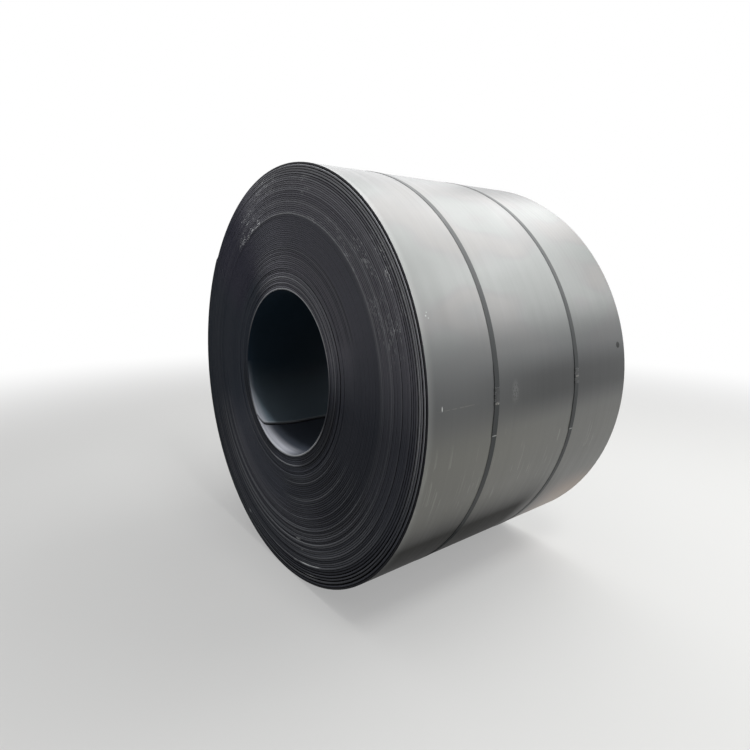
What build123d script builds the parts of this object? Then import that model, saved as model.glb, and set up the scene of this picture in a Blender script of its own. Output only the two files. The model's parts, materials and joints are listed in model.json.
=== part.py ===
from build123d import *
import os
from math import acos, cos, degrees, radians, sin

# A coil of hot rolled steel strip that lies on its side, held by two steel straps.
# All sizes are in millimetres. The coil's axis runs along Y, and +Z is up.
# Angles are in degrees, from +X towards +Z, as seen from the -Y end.

# Strip
strip_width = 1215.0
strip_thickness = 8.0

# Coil: tight laps from the bore outwards, then a few that have sprung loose
bore_radius = 370.0
tight_laps = 59
tight_gap = 0.2
loose_laps = 6
loose_gap = 3.2
loose_gap_depth = 30.0
lap_wander = 1.6
wander_step = 1.9

# Strip ends: the head is the step inside the bore, the tail the step outside. The tail sits on
# the far side, where it puts the coil's weight straight below the axis.
head_angle = -124.0
head_arc = 75.0
tail_angle = 140.8

# Straps
strap_width = 25.4
strap_thickness = 0.9
front_strap_inset = 331.0
rear_strap_inset = 828.0
front_tongue_end = -7.9
front_jog_angle = -2.6
front_jog = -2.0
rear_tongue_end = -11.9
rear_jog_angle = -3.1
rear_jog = -3.0
lower_end_reach = 60.0
ramp_length = 40.0

# Seals: a channel of sheet over both ends of a strap, notched to lock it
seal_thickness = 1.0
seal_clearance = 0.3
seal_length = 60.0
front_seal_angle = 1.1
rear_seal_angle = 2.0
notch_length = 7.0
notch_depth = 2.5
notch_spacing = 26.0

# Sizes that follow from those
pitch_tight = strip_thickness + tight_gap
pitch_loose = strip_thickness + loose_gap
loose_from = bore_radius + tight_laps * pitch_tight
outer_radius = loose_from + loose_laps * pitch_loose
axis_height = outer_radius + strap_thickness
half_width = strip_width / 2
trim_allowance = strip_thickness / 2
cut_length = strip_width + 4 * lap_wander
coil_axis = Axis((0, 0, axis_height), (0, 1, 0))

# The outline's closing half, which carries the seals, is smaller and off the axis
closing_offset = strip_thickness / 2
closing_radius = outer_radius - closing_offset
strap_outside = closing_radius + strap_thickness
tongue_outside = strap_outside + strap_thickness
seal_outside = tongue_outside + seal_thickness


def at(radius, angle):
    """The point of a section at a radius and an angle."""
    return (radius * cos(radians(angle)), radius * sin(radians(angle)))


def section(y, centre=(0, 0)):
    """The plane across the coil at y, with its X along +X and its origin on the axis or off it."""
    return Plane(origin=(centre[0], y, axis_height + centre[1]), x_dir=(1, 0, 0), z_dir=(0, -1, 0))


closing_centre = at(closing_offset, tail_angle + 180)


def arc_angle(length, radius):
    """The angle that a length takes up along a circle."""
    return degrees(length / radius)


def side_shift(lap):
    """How far a lap stands out of the near end. The strip has one width, so it stands in as far behind."""
    return lap_wander * (0.6 * sin(wander_step * lap) + 0.4 * sin(0.37 * wander_step * lap + 1.0))


def lap_edges():
    """Inner and outer radius of each lap. The first and last are left long, to be trimmed."""
    edges = []
    for lap in range(tight_laps + loose_laps):
        if lap < tight_laps:
            inner = bore_radius + lap * pitch_tight
            outer = inner + pitch_tight
        else:
            inner = loose_from + (lap - tight_laps) * pitch_loose
            outer = inner + strip_thickness
        edges.append([inner, outer])
    edges[0][0] -= trim_allowance
    edges[-1][1] = outer_radius + trim_allowance
    return edges


def end_profile(side):
    """The stepped edge of the coil at one end, from the bore outwards. Side is -1 near and +1 far."""
    points = []
    floor_y = side * (half_width - loose_gap_depth)
    for lap, (inner, outer) in enumerate(lap_edges()):
        y = side * half_width - side_shift(lap)
        if lap > tight_laps:
            points += [(points[-1][0], floor_y), (inner, floor_y)]
        points += [(inner, y), (outer, y)]
    return points


def closing_arc(turn):
    """The outline's second half, on a smaller circle that closes in by one strip at the tail."""
    return CenterArc(closing_centre, closing_radius, tail_angle + 180, turn)


def outer_scroll():
    """The coil's outline: a half circle, a half circle that closes in, and the step at the tail."""
    with BuildSketch() as outline:
        with BuildLine():
            CenterArc((0, 0), outer_radius, tail_angle, 180)
            closing_arc(180)
            Line(at(outer_radius - strip_thickness, tail_angle), at(outer_radius, tail_angle))
        make_face()
    return outline.sketch


def bore_scroll():
    """The bore's outline: a circle that opens by one strip thickness up to the head of the strip."""
    spread = strip_thickness / (1 - cos(radians(head_arc)))
    round_end = head_angle + head_arc
    wide_centre = at(-spread, round_end)
    head_point = at(bore_radius, head_angle)
    with BuildSketch() as outline:
        with BuildLine():
            CenterArc((0, 0), bore_radius, round_end, 360 - head_arc)
            wide = CenterArc(wide_centre, bore_radius + spread, round_end, -head_arc)
            Line(wide @ 1, head_point)
        make_face()
    return outline.sketch


def strap_path():
    """What a tight strap encloses: the coil's outline, bridged by a straight run beside the tail."""
    bridge_angle = degrees(acos(closing_radius / (outer_radius + strip_thickness / 2)))
    with BuildSketch() as outline:
        with BuildLine():
            CenterArc((0, 0), outer_radius, tail_angle, 180)
            closing = closing_arc(180 - bridge_angle)
            Line(closing @ 1, at(outer_radius, tail_angle))
        make_face()
    return outline.sketch


def ring_piece(inner, outer, start, end, foot=0.0):
    """A piece of a ring between two angles. Its foot runs on past the end along the inner arc."""
    with BuildSketch() as piece:
        with BuildLine():
            CenterArc((0, 0), inner, start, end + foot - start)
            Line(at(inner, end + foot), at(outer, end))
            CenterArc((0, 0), outer, end, start - end)
            Line(at(outer, start), at(inner, start))
        make_face()
    return piece.sketch


# Coil
with BuildPart() as coil:
    with BuildSketch(Plane.XY.offset(axis_height)):
        with BuildLine():
            Polyline(*end_profile(-1), *reversed(end_profile(1)), close=True)
        make_face()
    revolve(axis=coil_axis)
    with BuildSketch(section(0)):
        add(outer_scroll())
    extrude(amount=cut_length / 2, both=True, mode=Mode.INTERSECT)
    with BuildSketch(section(0)):
        add(bore_scroll())
    extrude(amount=cut_length / 2, both=True, mode=Mode.SUBTRACT)


def make_strap(centre_y, seal_angle, tongue_end, jog_angle, jog):
    """A strap round the coil. Its upper end, the tongue, lies over the lower one and runs on past
    the seal. Below the jog angle the tongue lies a little to one side."""
    lap_end = seal_angle + arc_angle(seal_length / 2 + lower_end_reach, strap_outside)
    ramp = arc_angle(ramp_length, strap_outside)
    tongue_root = strap_outside - strap_thickness / 2
    with BuildPart() as strap:
        with BuildSketch(section(centre_y)):
            add(strap_path())
            offset(amount=strap_thickness)
            add(strap_path(), mode=Mode.SUBTRACT)
        extrude(amount=strap_width / 2, both=True)
        with BuildSketch(section(centre_y, closing_centre)):
            add(ring_piece(tongue_root, tongue_outside, jog_angle, lap_end, foot=ramp))
        extrude(amount=strap_width / 2, both=True)
        with BuildSketch(section(centre_y + jog, closing_centre)):
            add(ring_piece(tongue_root, tongue_outside, tongue_end, jog_angle))
        extrude(amount=strap_width / 2, both=True)
    return strap


def make_seal(centre_y, seal_angle):
    """A seal: a channel that closes over both layers of a strap, with two notches on each side."""
    half_turn = arc_angle(seal_length / 2, seal_outside)
    channel = strap_width + 2 * seal_clearance
    full_width = channel + 2 * seal_thickness
    notch_turn = arc_angle(notch_spacing / 2, seal_outside)
    notch_half = arc_angle(notch_length / 2, seal_outside)
    notch_from = full_width / 2 - notch_depth
    with BuildPart() as seal:
        with BuildSketch(section(centre_y, closing_centre)):
            add(ring_piece(closing_radius, seal_outside, seal_angle - half_turn, seal_angle + half_turn))
        extrude(amount=full_width / 2, both=True)
        with BuildSketch(section(centre_y, closing_centre)):
            add(ring_piece(closing_radius - seal_thickness, tongue_outside,
                           seal_angle - 2 * half_turn, seal_angle + 2 * half_turn))
        extrude(amount=channel / 2, both=True, mode=Mode.SUBTRACT)
        for side in (-1, 1):
            with BuildSketch(section(centre_y + side * (notch_from + notch_depth), closing_centre)):
                for turn in (-notch_turn, notch_turn):
                    add(ring_piece(closing_radius - seal_thickness, seal_outside + seal_thickness,
                                   seal_angle + turn - notch_half, seal_angle + turn + notch_half))
            extrude(amount=side * notch_depth, mode=Mode.SUBTRACT)
    return seal


# Straps and seals
front_y = front_strap_inset - half_width
rear_y = rear_strap_inset - half_width
strap_front = make_strap(front_y, front_seal_angle, front_tongue_end, front_jog_angle, front_jog)
strap_rear = make_strap(rear_y, rear_seal_angle, rear_tongue_end, rear_jog_angle, rear_jog)
seal_front = make_seal(front_y, front_seal_angle)
seal_rear = make_seal(rear_y, rear_seal_angle)

coil.part.label = "coil"
strap_front.part.label = "strap_front"
strap_rear.part.label = "strap_rear"
seal_front.part.label = "seal_front"
seal_rear.part.label = "seal_rear"

os.makedirs("parts", exist_ok=True)
export_step(coil.part, "parts/coil.step")
export_step(strap_front.part, "parts/strap_front.step")
export_step(strap_rear.part, "parts/strap_rear.step")
export_step(seal_front.part, "parts/seal_front.step")
export_step(seal_rear.part, "parts/seal_rear.step")
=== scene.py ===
"""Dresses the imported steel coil: the wound strip, its two straps and seals, and a plain studio."""

import json
import math

import bmesh
import bpy
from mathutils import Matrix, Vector


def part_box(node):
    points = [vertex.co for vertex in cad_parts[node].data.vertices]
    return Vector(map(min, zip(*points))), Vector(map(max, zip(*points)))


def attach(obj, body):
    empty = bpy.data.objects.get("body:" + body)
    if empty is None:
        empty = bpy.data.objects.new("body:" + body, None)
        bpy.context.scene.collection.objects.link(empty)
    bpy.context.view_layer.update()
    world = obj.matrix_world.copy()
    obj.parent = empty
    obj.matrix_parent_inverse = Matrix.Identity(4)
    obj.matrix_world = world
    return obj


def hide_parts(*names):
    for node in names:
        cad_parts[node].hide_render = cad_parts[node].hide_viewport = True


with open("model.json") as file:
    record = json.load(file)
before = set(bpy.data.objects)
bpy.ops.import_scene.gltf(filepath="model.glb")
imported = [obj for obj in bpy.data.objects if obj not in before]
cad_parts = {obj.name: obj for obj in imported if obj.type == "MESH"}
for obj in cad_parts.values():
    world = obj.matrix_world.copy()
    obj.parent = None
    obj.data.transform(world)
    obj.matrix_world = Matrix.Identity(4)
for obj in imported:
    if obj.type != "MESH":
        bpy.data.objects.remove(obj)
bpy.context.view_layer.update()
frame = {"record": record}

bl_info = {
    "name": "Steel coil",
    "version": (1, 0, 0),
    "blender": (4, 5, 0),
    "location": "View3D > Sidebar > Steel coil",
    "description": "Winds a coil of hot rolled strip, straps it and lights it",
    "category": "Object",
}

MM = 0.001
BORE = frame["record"]["mounts"][0]
AXIS_HEIGHT = BORE["pos_m"][2]
COIL_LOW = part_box("coil")[0]


def middle_y(node):
    """The place of a node's middle along the coil's axis."""
    low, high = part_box(node)
    return (low[1] + high[1]) / 2


def a_length(name, description, metres):
    """A length that can be set in the panel."""
    return bpy.props.FloatProperty(name=name, description=description, default=metres, unit="LENGTH")


def an_angle(name, description, degrees):
    """An angle that can be set in the panel."""
    return bpy.props.FloatProperty(
        name=name, description=description, default=math.radians(degrees), subtype="ANGLE")


def a_colour(name, description, hex_code):
    """An sRGB hex colour that can be set in the panel."""
    return bpy.props.StringProperty(name=name, description=description, default=hex_code)


class CoilSizes(bpy.types.PropertyGroup):
    """Sizes of the wound strip. Angles run from +X towards +Z, as seen from the -Y end."""

    axis_height: a_length("Axis height", "Height of the coil's axis above the floor", AXIS_HEIGHT)
    bore_radius: a_length("Bore radius", "Radius of the open bore", BORE["dims"]["r_mm"] * MM)
    outer_radius: a_length("Outer radius", "Radius of the outermost lap, beyond the tail",
                           AXIS_HEIGHT - COIL_LOW[2])
    width: a_length("Strip width", "Width of the strip, which is the coil's length",
                    BORE["dims"]["length_mm"] * MM)
    thickness: a_length("Strip thickness", "Thickness of the strip", 8.0 * MM)
    corner: a_length("Edge rounding", "How far the strip's corners are eased", 1.5 * MM)
    full_laps: bpy.props.IntProperty(
        name="Full laps", description="Laps all round, without the part lap from tail to head",
        default=64)
    head_angle: an_angle("Head angle", "Where the strip starts, inside the bore", -124.0)
    head_arc: an_angle("Head arc", "The part of the bore that opens to clear the head", 75.0)
    tail_angle: an_angle("Tail angle", "Where the strip ends, outside", 140.8)
    sections: bpy.props.IntProperty(
        name="Sections a lap", description="Cross sections in each lap", default=144)


class StrapSizes(bpy.types.PropertyGroup):
    """Sizes of the two straps and their seals."""

    width: a_length("Strap width", "Width of the strap", 25.4 * MM)
    thickness: a_length("Strap thickness", "Thickness of the strap", 0.9 * MM)
    sheet: a_length("Seal sheet", "Thickness of the seal's sheet", 1.0 * MM)
    clearance: a_length("Seal clearance", "Room between strap and seal on each side", 0.3 * MM)
    seal_length: a_length("Seal length", "Length of a seal round the coil", 60.0 * MM)
    notch_length: a_length("Notch length", "Length of one crimped notch", 7.0 * MM)
    notch_depth: a_length("Notch depth", "Depth of one crimped notch", 2.5 * MM)
    notch_spacing: a_length("Notch spacing", "Distance between the two notches of a side", 26.0 * MM)


class SteelColours(bpy.types.PropertyGroup):
    """Colours of the steels and the floor."""

    scale: a_colour("Mill scale", "Rolled face of the strip", "#24282B")
    edge: a_colour("Strip edge", "Mill edge of the strip", "#222832")
    bare: a_colour("Bare steel", "Scuffed and sheared places", "#9C9E9E")
    strap: a_colour("Strap", "Blued strap", "#191B1C")
    seal: a_colour("Seal", "Blued seal", "#1F2122")
    floor: a_colour("Floor", "Plain pale floor", "#BCBCBA")


def linear_colour(hex_code):
    """An sRGB hex colour as Blender's linear red, green, blue and alpha."""
    channels = [int(hex_code[i:i + 2], 16) / 255 for i in (1, 3, 5)]
    linear = [c / 12.92 if c <= 0.04045 else ((c + 0.055) / 1.055) ** 2.4 for c in channels]
    return (*linear, 1.0)


def set_inputs(tree, node, values):
    """Gives a node's inputs their numbers or outputs."""
    for socket, value in values.items():
        if isinstance(value, bpy.types.NodeSocket):
            tree.links.new(value, node.inputs[socket])
        else:
            node.inputs[socket].default_value = value


def add_node(tree, kind, links=None, **settings):
    """Adds a node. Settings are its own properties; links give inputs a value or another output."""
    node = tree.nodes.new(kind)
    for name, value in settings.items():
        setattr(node, name, value)
    set_inputs(tree, node, links or {})
    return node


def product(tree, *factors):
    """Numbers or outputs multiplied together."""
    result = factors[0]
    for factor in factors[1:]:
        result = add_node(tree, "ShaderNodeMath", {0: result, 1: factor}, operation="MULTIPLY").outputs[0]
    return result


def total(tree, first, *terms, clamp=False):
    """Numbers or outputs added up, where a pair is multiplied first. Clamped, the total is within 0 and 1."""
    result = first
    for count, term in enumerate(terms, 1):
        value, times = term if isinstance(term, tuple) else (term, 1.0)
        result = add_node(tree, "ShaderNodeMath", {0: value, 1: times, 2: result},
                          operation="MULTIPLY_ADD", use_clamp=clamp and count == len(terms)).outputs[0]
    return result


def paint(tree, tone, hex_code, *shares):
    """Lays a colour over a tone, as strongly as the product of the shares says."""
    return add_node(tree, "ShaderNodeMix", {0: product(tree, *shares), 6: tone, 7: linear_colour(hex_code)},
                    data_type="RGBA").outputs[2]


def window(tree, value, low, high, soft):
    """1 where a value lies between low and high, falling to 0 over a soft border."""
    rise = add_node(tree, "ShaderNodeMapRange",
                    {"Value": value, "From Min": low - soft, "From Max": low + soft},
                    interpolation_type="SMOOTHSTEP")
    fall = add_node(tree, "ShaderNodeMapRange",
                    {"Value": value, "From Min": high - soft, "From Max": high + soft,
                     "To Min": 1.0, "To Max": 0.0}, interpolation_type="SMOOTHSTEP")
    return product(tree, rise.outputs[0], fall.outputs[0])


def patch(tree, angle, across, angles, places):
    """1 in a part of the coil, between two angles and two places across them, each with its softness.
    On an end, the places are radii, and on the barrel they lie along the axis."""
    return product(tree, window(tree, angle, *angles), window(tree, across, *places))


def oval(tree, angle, across, centre, half_turn, half_across, soft=0.3):
    """1 inside an oval whose centre is (degrees, place across) and whose half sizes are given."""
    offset = add_node(tree, "ShaderNodeCombineXYZ", {
        0: total(tree, -centre[0] / half_turn, (angle, 1 / half_turn)),
        1: total(tree, -centre[1] / half_across, (across, 1 / half_across))}).outputs[0]
    reach = add_node(tree, "ShaderNodeVectorMath", {0: offset}, operation="LENGTH").outputs["Value"]
    return add_node(tree, "ShaderNodeMapRange", {
        "Value": reach, "From Min": 1 - soft, "From Max": 1 + soft, "To Min": 1.0, "To Max": 0.0},
        interpolation_type="SMOOTHSTEP").outputs[0]


def grain(tree, coordinates, density, detail=2.0, roughness=0.5):
    """Noise of so many grains a metre: one number for all ways, or one for each axis."""
    each_way = density if isinstance(density, tuple) else (density, density, density)
    mapped = add_node(tree, "ShaderNodeMapping", {"Vector": coordinates, "Scale": each_way}).outputs[0]
    return add_node(tree, "ShaderNodeTexNoise", {
        "Vector": mapped, "Scale": 1.0, "Detail": detail, "Roughness": roughness}).outputs["Fac"]


def coil_place(tree, axis_height):
    """Object coordinates about the coil's axis: across it, radius, angle in degrees and the y along it."""
    source = add_node(tree, "ShaderNodeTexCoord").outputs["Object"]
    place = add_node(tree, "ShaderNodeMapping", {
        "Vector": source, "Location": (0.0, 0.0, -axis_height)}).outputs[0]
    spoke = add_node(tree, "ShaderNodeVectorMath", {0: place, 1: (1.0, 0.0, 1.0)},
                     operation="MULTIPLY").outputs[0]
    radius = add_node(tree, "ShaderNodeVectorMath", {0: spoke}, operation="LENGTH").outputs["Value"]
    x, y, z = add_node(tree, "ShaderNodeSeparateXYZ", {0: place}).outputs
    turn = add_node(tree, "ShaderNodeMath", {0: z, 1: x}, operation="ARCTAN2").outputs[0]
    return place, spoke, radius, product(tree, turn, 180 / math.pi), y


def new_material(name):
    """An empty material, with its shader and its output."""
    material = bpy.data.materials.new(name)
    material.use_nodes = True
    tree = material.node_tree
    tree.nodes.clear()
    shader = add_node(tree, "ShaderNodeBsdfPrincipled")
    add_node(tree, "ShaderNodeOutputMaterial", {"Surface": shader.outputs[0]})
    return material, tree, shader


def mill_scale_material(coil, colours):
    """Hot rolled steel with its mill scale: thin blue-black oxide that gives a soft, wide sheen."""
    material, tree, shader = new_material("hot rolled mill scale")
    place, spoke, radius, angle, along = coil_place(tree, coil.axis_height)
    front_edge = -coil.width / 2

    # Clouds of thicker and thinner oxide, about 250 mm, and streaks along the rolling direction
    clouds = grain(tree, place, 4.0, 3.0)
    streaks = grain(tree, place, (1.6, 70.0, 1.6), 4.0, 0.6)
    fine = grain(tree, place, (6.0, 420.0, 6.0), 3.0, 0.6)
    tone = paint(tree, linear_colour(colours.scale), "#2E3133", clouds)
    tone = paint(tree, tone, "#1B1E20", streaks, 0.45)

    # Temper tints: faint olive, green and rose high up. Low down, olive and brown are painted reflections of
    # the ground, and the grey in front is a painted glow
    tints = grain(tree, place, (4.16, 2.34, 4.16), 1.0)
    high_band = window(tree, angle, 16.0, 62.0, 12.0)
    tone = paint(tree, tone, "#37362A", high_band, 0.35)
    tone = paint(tree, tone, "#37473F", high_band, window(tree, tints, 0.52, 0.72, 0.05), 0.4)
    tone = paint(tree, tone, "#5A4E40", high_band, window(tree, tints, 0.3, 0.46, 0.05), 0.16)
    # Painted reflection of the ground: olive under the middle, fainter towards the far end
    ground_reflection_share = total(tree, 0.62, (window(tree, along, 0.05, 2.0, 0.3), -0.25))
    tone = paint(tree, tone, "#5C5B50", window(tree, angle, -34.0, -5.0, 8.0), ground_reflection_share)
    # Painted glow: grey on the front half, just above the middle
    grey = patch(tree, angle, along, (3.0, 15.0, 5.0), (-2.0, 0.1, 0.2))
    tone = paint(tree, tone, "#6A6D6C", grey, 0.22)
    # Painted reflection of a warm, bright place: brown low down at the far end
    warm_reflection = patch(tree, angle, along, (-62.0, -33.0, 6.0), (0.32, 0.8, 0.2))
    tone = paint(tree, tone, "#8A705C", warm_reflection, 0.75)

    # Painted shade, standing for dark ground in the reflection: under the front half, and in a belt that is
    # darker towards the far end. The reflection is turned down there too
    painted_shade_below = patch(tree, angle, along, (-70.0, -28.5, 7.0), (-1.0, 0.24, 0.15))
    tone = paint(tree, tone, "#201F1D", painted_shade_below, 0.9)
    painted_shade_belt = window(tree, angle, -4.0, 7.0, 4.0)
    painted_shade_far = product(tree, painted_shade_belt, window(tree, along, -0.2, 2.0, 0.3))
    tone = paint(tree, tone, "#0D1011", total(tree, 0.0, (painted_shade_belt, 0.45), (painted_shade_far, 0.35)))

    # The strip's edge cooled faster than its middle and is a little paler
    pale_edge = patch(tree, angle, along, (-42.0, 70.0, 10.0), (-1.0, front_edge + 0.02, 0.018))
    tone = paint(tree, tone, "#8E908E", pale_edge, 0.22)

    # Marks of use: an oil spot, a chalky smudge, paint dots, a scratch with a bright start, and
    # pale rubs along the rolling direction below the middle
    oil = oval(tree, angle, along, (8.1, coil.width / 2 - 0.052), 0.85, 0.0135, 0.15)
    tone = paint(tree, tone, "#0B0C0D", oil)
    chalk = oval(tree, angle, along, (1.25, front_edge + 0.436), 2.2, 0.016, 0.6)
    powder = window(tree, grain(tree, place, 140.0, 3.0), 0.46, 1.0, 0.06)
    tone = paint(tree, tone, "#B4B6B4", chalk, powder, 0.1)
    for turn, inset, size in ((19.5, 0.038, 0.0028), (20.2, 0.044, 0.002), (19.0, 0.047, 0.002)):
        dot = oval(tree, angle, along, (turn, front_edge + inset), size * 62, size, 0.4)
        tone = paint(tree, tone, "#D8DAD8", dot, 0.3)
    scratch = oval(tree, angle, along, (0.3, front_edge + 0.145), 0.1, 0.085, 0.4)
    broken = window(tree, grain(tree, place, 60.0), 0.44, 1.0, 0.04)
    tone = paint(tree, tone, "#77776E", scratch, broken, 0.25)
    tick = oval(tree, angle, along, (0.75, front_edge + 0.063), 0.5, 0.0022, 0.4)
    tone = paint(tree, tone, "#C8CAC8", tick, 0.7)
    lines = window(tree, grain(tree, place, (3.0, 110.0, 3.0), 3.0, 0.7), 0.6, 1.0, 0.03)
    patches = window(tree, grain(tree, place, (9.0, 14.4, 9.0), 1.0), 0.53, 1.0, 0.03)
    tone = paint(tree, tone, "#8A8B84", lines, window(tree, angle, -26.0, -9.0, 4.0), patches, 0.3)

    rough = add_node(tree, "ShaderNodeMapRange", {
        "Value": total(tree, 0.0, (streaks, 0.6), (clouds, 0.4)),
        "From Min": 0.25, "From Max": 0.75, "To Min": 0.34, "To Max": 0.46}).outputs[0]
    bump = add_node(tree, "ShaderNodeBump", {
        "Height": total(tree, clouds, (fine, 0.5)), "Strength": 0.25, "Distance": 0.0006}).outputs[0]
    # The reflection is turned down on the oil spot, and as painted shade below and in the belt
    shine = total(tree, 0.5, (oil, -0.32), (painted_shade_far, -0.22), (painted_shade_below, -0.489), clamp=True)
    set_inputs(tree, shader, {
        "Base Color": tone, "Roughness": rough, "IOR": 1.8, "Specular IOR Level": shine, "Normal": bump})
    return material


# The strip's head and tail are rounded. Each curve: how far the end lags behind its middle at the
# strip's edge, in degrees, how far in from the edge the curve reaches, in metres, and its power
END_CURVES = [(8.0, 0.03, 3.0), (5.0, 0.18, 1.5)]


def bore_scale_material(coil, colours):
    """The rolled face inside the bore: dull dark scale, with painted light at the front lip, on the lower
    wall and beside the head, and a painted shadow under the head.
    """
    material, tree, shader = new_material("bore scale")
    place, spoke, radius, angle, along = coil_place(tree, coil.axis_height)
    tone = paint(tree, linear_colour("#121F29"), "#1C2B37", grain(tree, place, 5.0, 3.0))
    # Painted light: the lower wall, which faces up, is lighter
    tone = paint(tree, tone, "#383A42", window(tree, angle, -150.0, -52.0, 28.0), 0.6)

    # The head's line, in degrees past its middle, with the way it curves back at the strip's edges
    off_middle = add_node(tree, "ShaderNodeMath", {0: along}, operation="ABSOLUTE").outputs[0]
    depth = total(tree, coil.width / 2, (off_middle, -1.0))
    past_head = total(tree, -math.degrees(coil.head_angle), angle)
    for turn, reach, power in END_CURVES:
        near = total(tree, 1.0, (depth, -1 / reach), clamp=True)
        curve = add_node(tree, "ShaderNodeMath", {0: near, 1: power}, operation="POWER").outputs[0]
        past_head = total(tree, past_head, (curve, turn))
    # Painted light on the head's strip, in a band beside the head's line, fading out deeper in the bore
    behind_head = product(tree, window(tree, past_head, -32.0, 400.0, 23.0),
                          window(tree, past_head, -400.0, 0.0, 0.4))
    tone = paint(tree, tone, "#55616A", behind_head, window(tree, along, -2.0, 0.3, 0.4))

    # Painted light at the front lip, where light falls into the bore, wider towards the bottom; the lip lamp
    # lights it too
    lip_reach = add_node(tree, "ShaderNodeMapRange", {
        "Value": angle, "From Min": -160.0, "From Max": -92.0, "To Max": 0.06}).outputs[0]
    lip = add_node(tree, "ShaderNodeMapRange", {
        "Value": total(tree, -coil.width / 2, lip_reach, (along, -1.0)),
        "From Min": -0.03, "From Max": 0.026}, interpolation_type="SMOOTHSTEP").outputs[0]
    streaks = add_node(tree, "ShaderNodeMapRange", {
        "Value": grain(tree, place, (2.0, 60.0, 2.0), 4.0, 0.65),
        "From Min": 0.3, "From Max": 0.7, "To Min": 0.6}).outputs[0]
    tone = paint(tree, tone, "#ACAEB6", lip, window(tree, angle, -170.0, -84.0, 16.0), streaks)

    # A pale line along the head's sheared end, and under it a painted shadow where the head's end steps down
    tone = paint(tree, tone, "#A2A5A8", window(tree, past_head, -1.3, -0.1, 0.35), 0.3)
    tone = paint(tree, tone, "#030304", window(tree, past_head, 0.05, 1.25, 0.3))
    set_inputs(tree, shader, {"Base Color": tone, "Roughness": 0.6, "Specular IOR Level": 0.16})
    return material


def covered_scale_material():
    """Scale between the laps, where no light comes: nearly black, so that each gap reads as a line."""
    material, tree, shader = new_material("covered scale")
    set_inputs(tree, shader, {
        "Base Color": linear_colour("#0A0B0D"), "Roughness": 0.8, "Specular IOR Level": 0.05})
    return material


# Scuffed patches of the front end: angles and softness in degrees, radii in metres, strength
SCUFF_PATCHES = [
    ((22.0, 40.0, 5.0), (0.835, 0.885), 0.9),
    ((13.0, 21.0, 3.0), (0.795, 0.83), 0.9),
    ((33.0, 47.0, 5.0), (0.755, 0.80), 0.6),
    ((12.0, 32.0, 6.0), (0.71, 0.80), 0.35),
    ((28.0, 90.0, 10.0), (0.70, 0.708), 0.5),
    ((46.0, 74.0, 8.0), (0.70, 0.75), 0.35),
    ((106.0, 125.0, 5.0), (0.70, 0.74), 1.5),
    ((112.0, 124.0, 6.0), (0.745, 0.83), 0.8),
    ((94.0, 110.0, 8.0), (0.82, 0.89), 0.8),
    ((72.0, 78.0, 3.0), (0.79, 0.87), 0.9),
]

# Nicks low on the front end: their middle in degrees, half their turn, radius, half height, strength
NICKS = [
    (-80.6, 1.3, 0.741, 0.0035, 0.6),
    (-83.3, 0.9, 0.845, 0.003, 0.6),
    (-77.0, 3.2, 0.8405, 0.003, 0.5),
    (-71.5, 2.2, 0.839, 0.0025, 0.35),
    (-75.5, 3.0, 0.886, 0.003, 0.4),
    (-78.8, 0.8, 0.785, 0.003, 0.25),
    (-115.2, 0.8, 0.871, 0.003, 0.3),
]

# Parts of the ends where every lap shows: angles and softness, radii and softness, strength
LINED_PARTS = [
    ((14.0, 108.0, 10.0), (0.70, 1.0, 0.008), 0.75),
    ((20.0, 118.0, 5.0), (0.30, 0.565, 0.008), 0.7),
    ((-88.0, -34.0, 8.0), (0.47, 1.0, 0.03), 1.0),
    ((-158.0, -88.0, 8.0), (0.63, 1.0, 0.02), 0.7),
]


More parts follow.
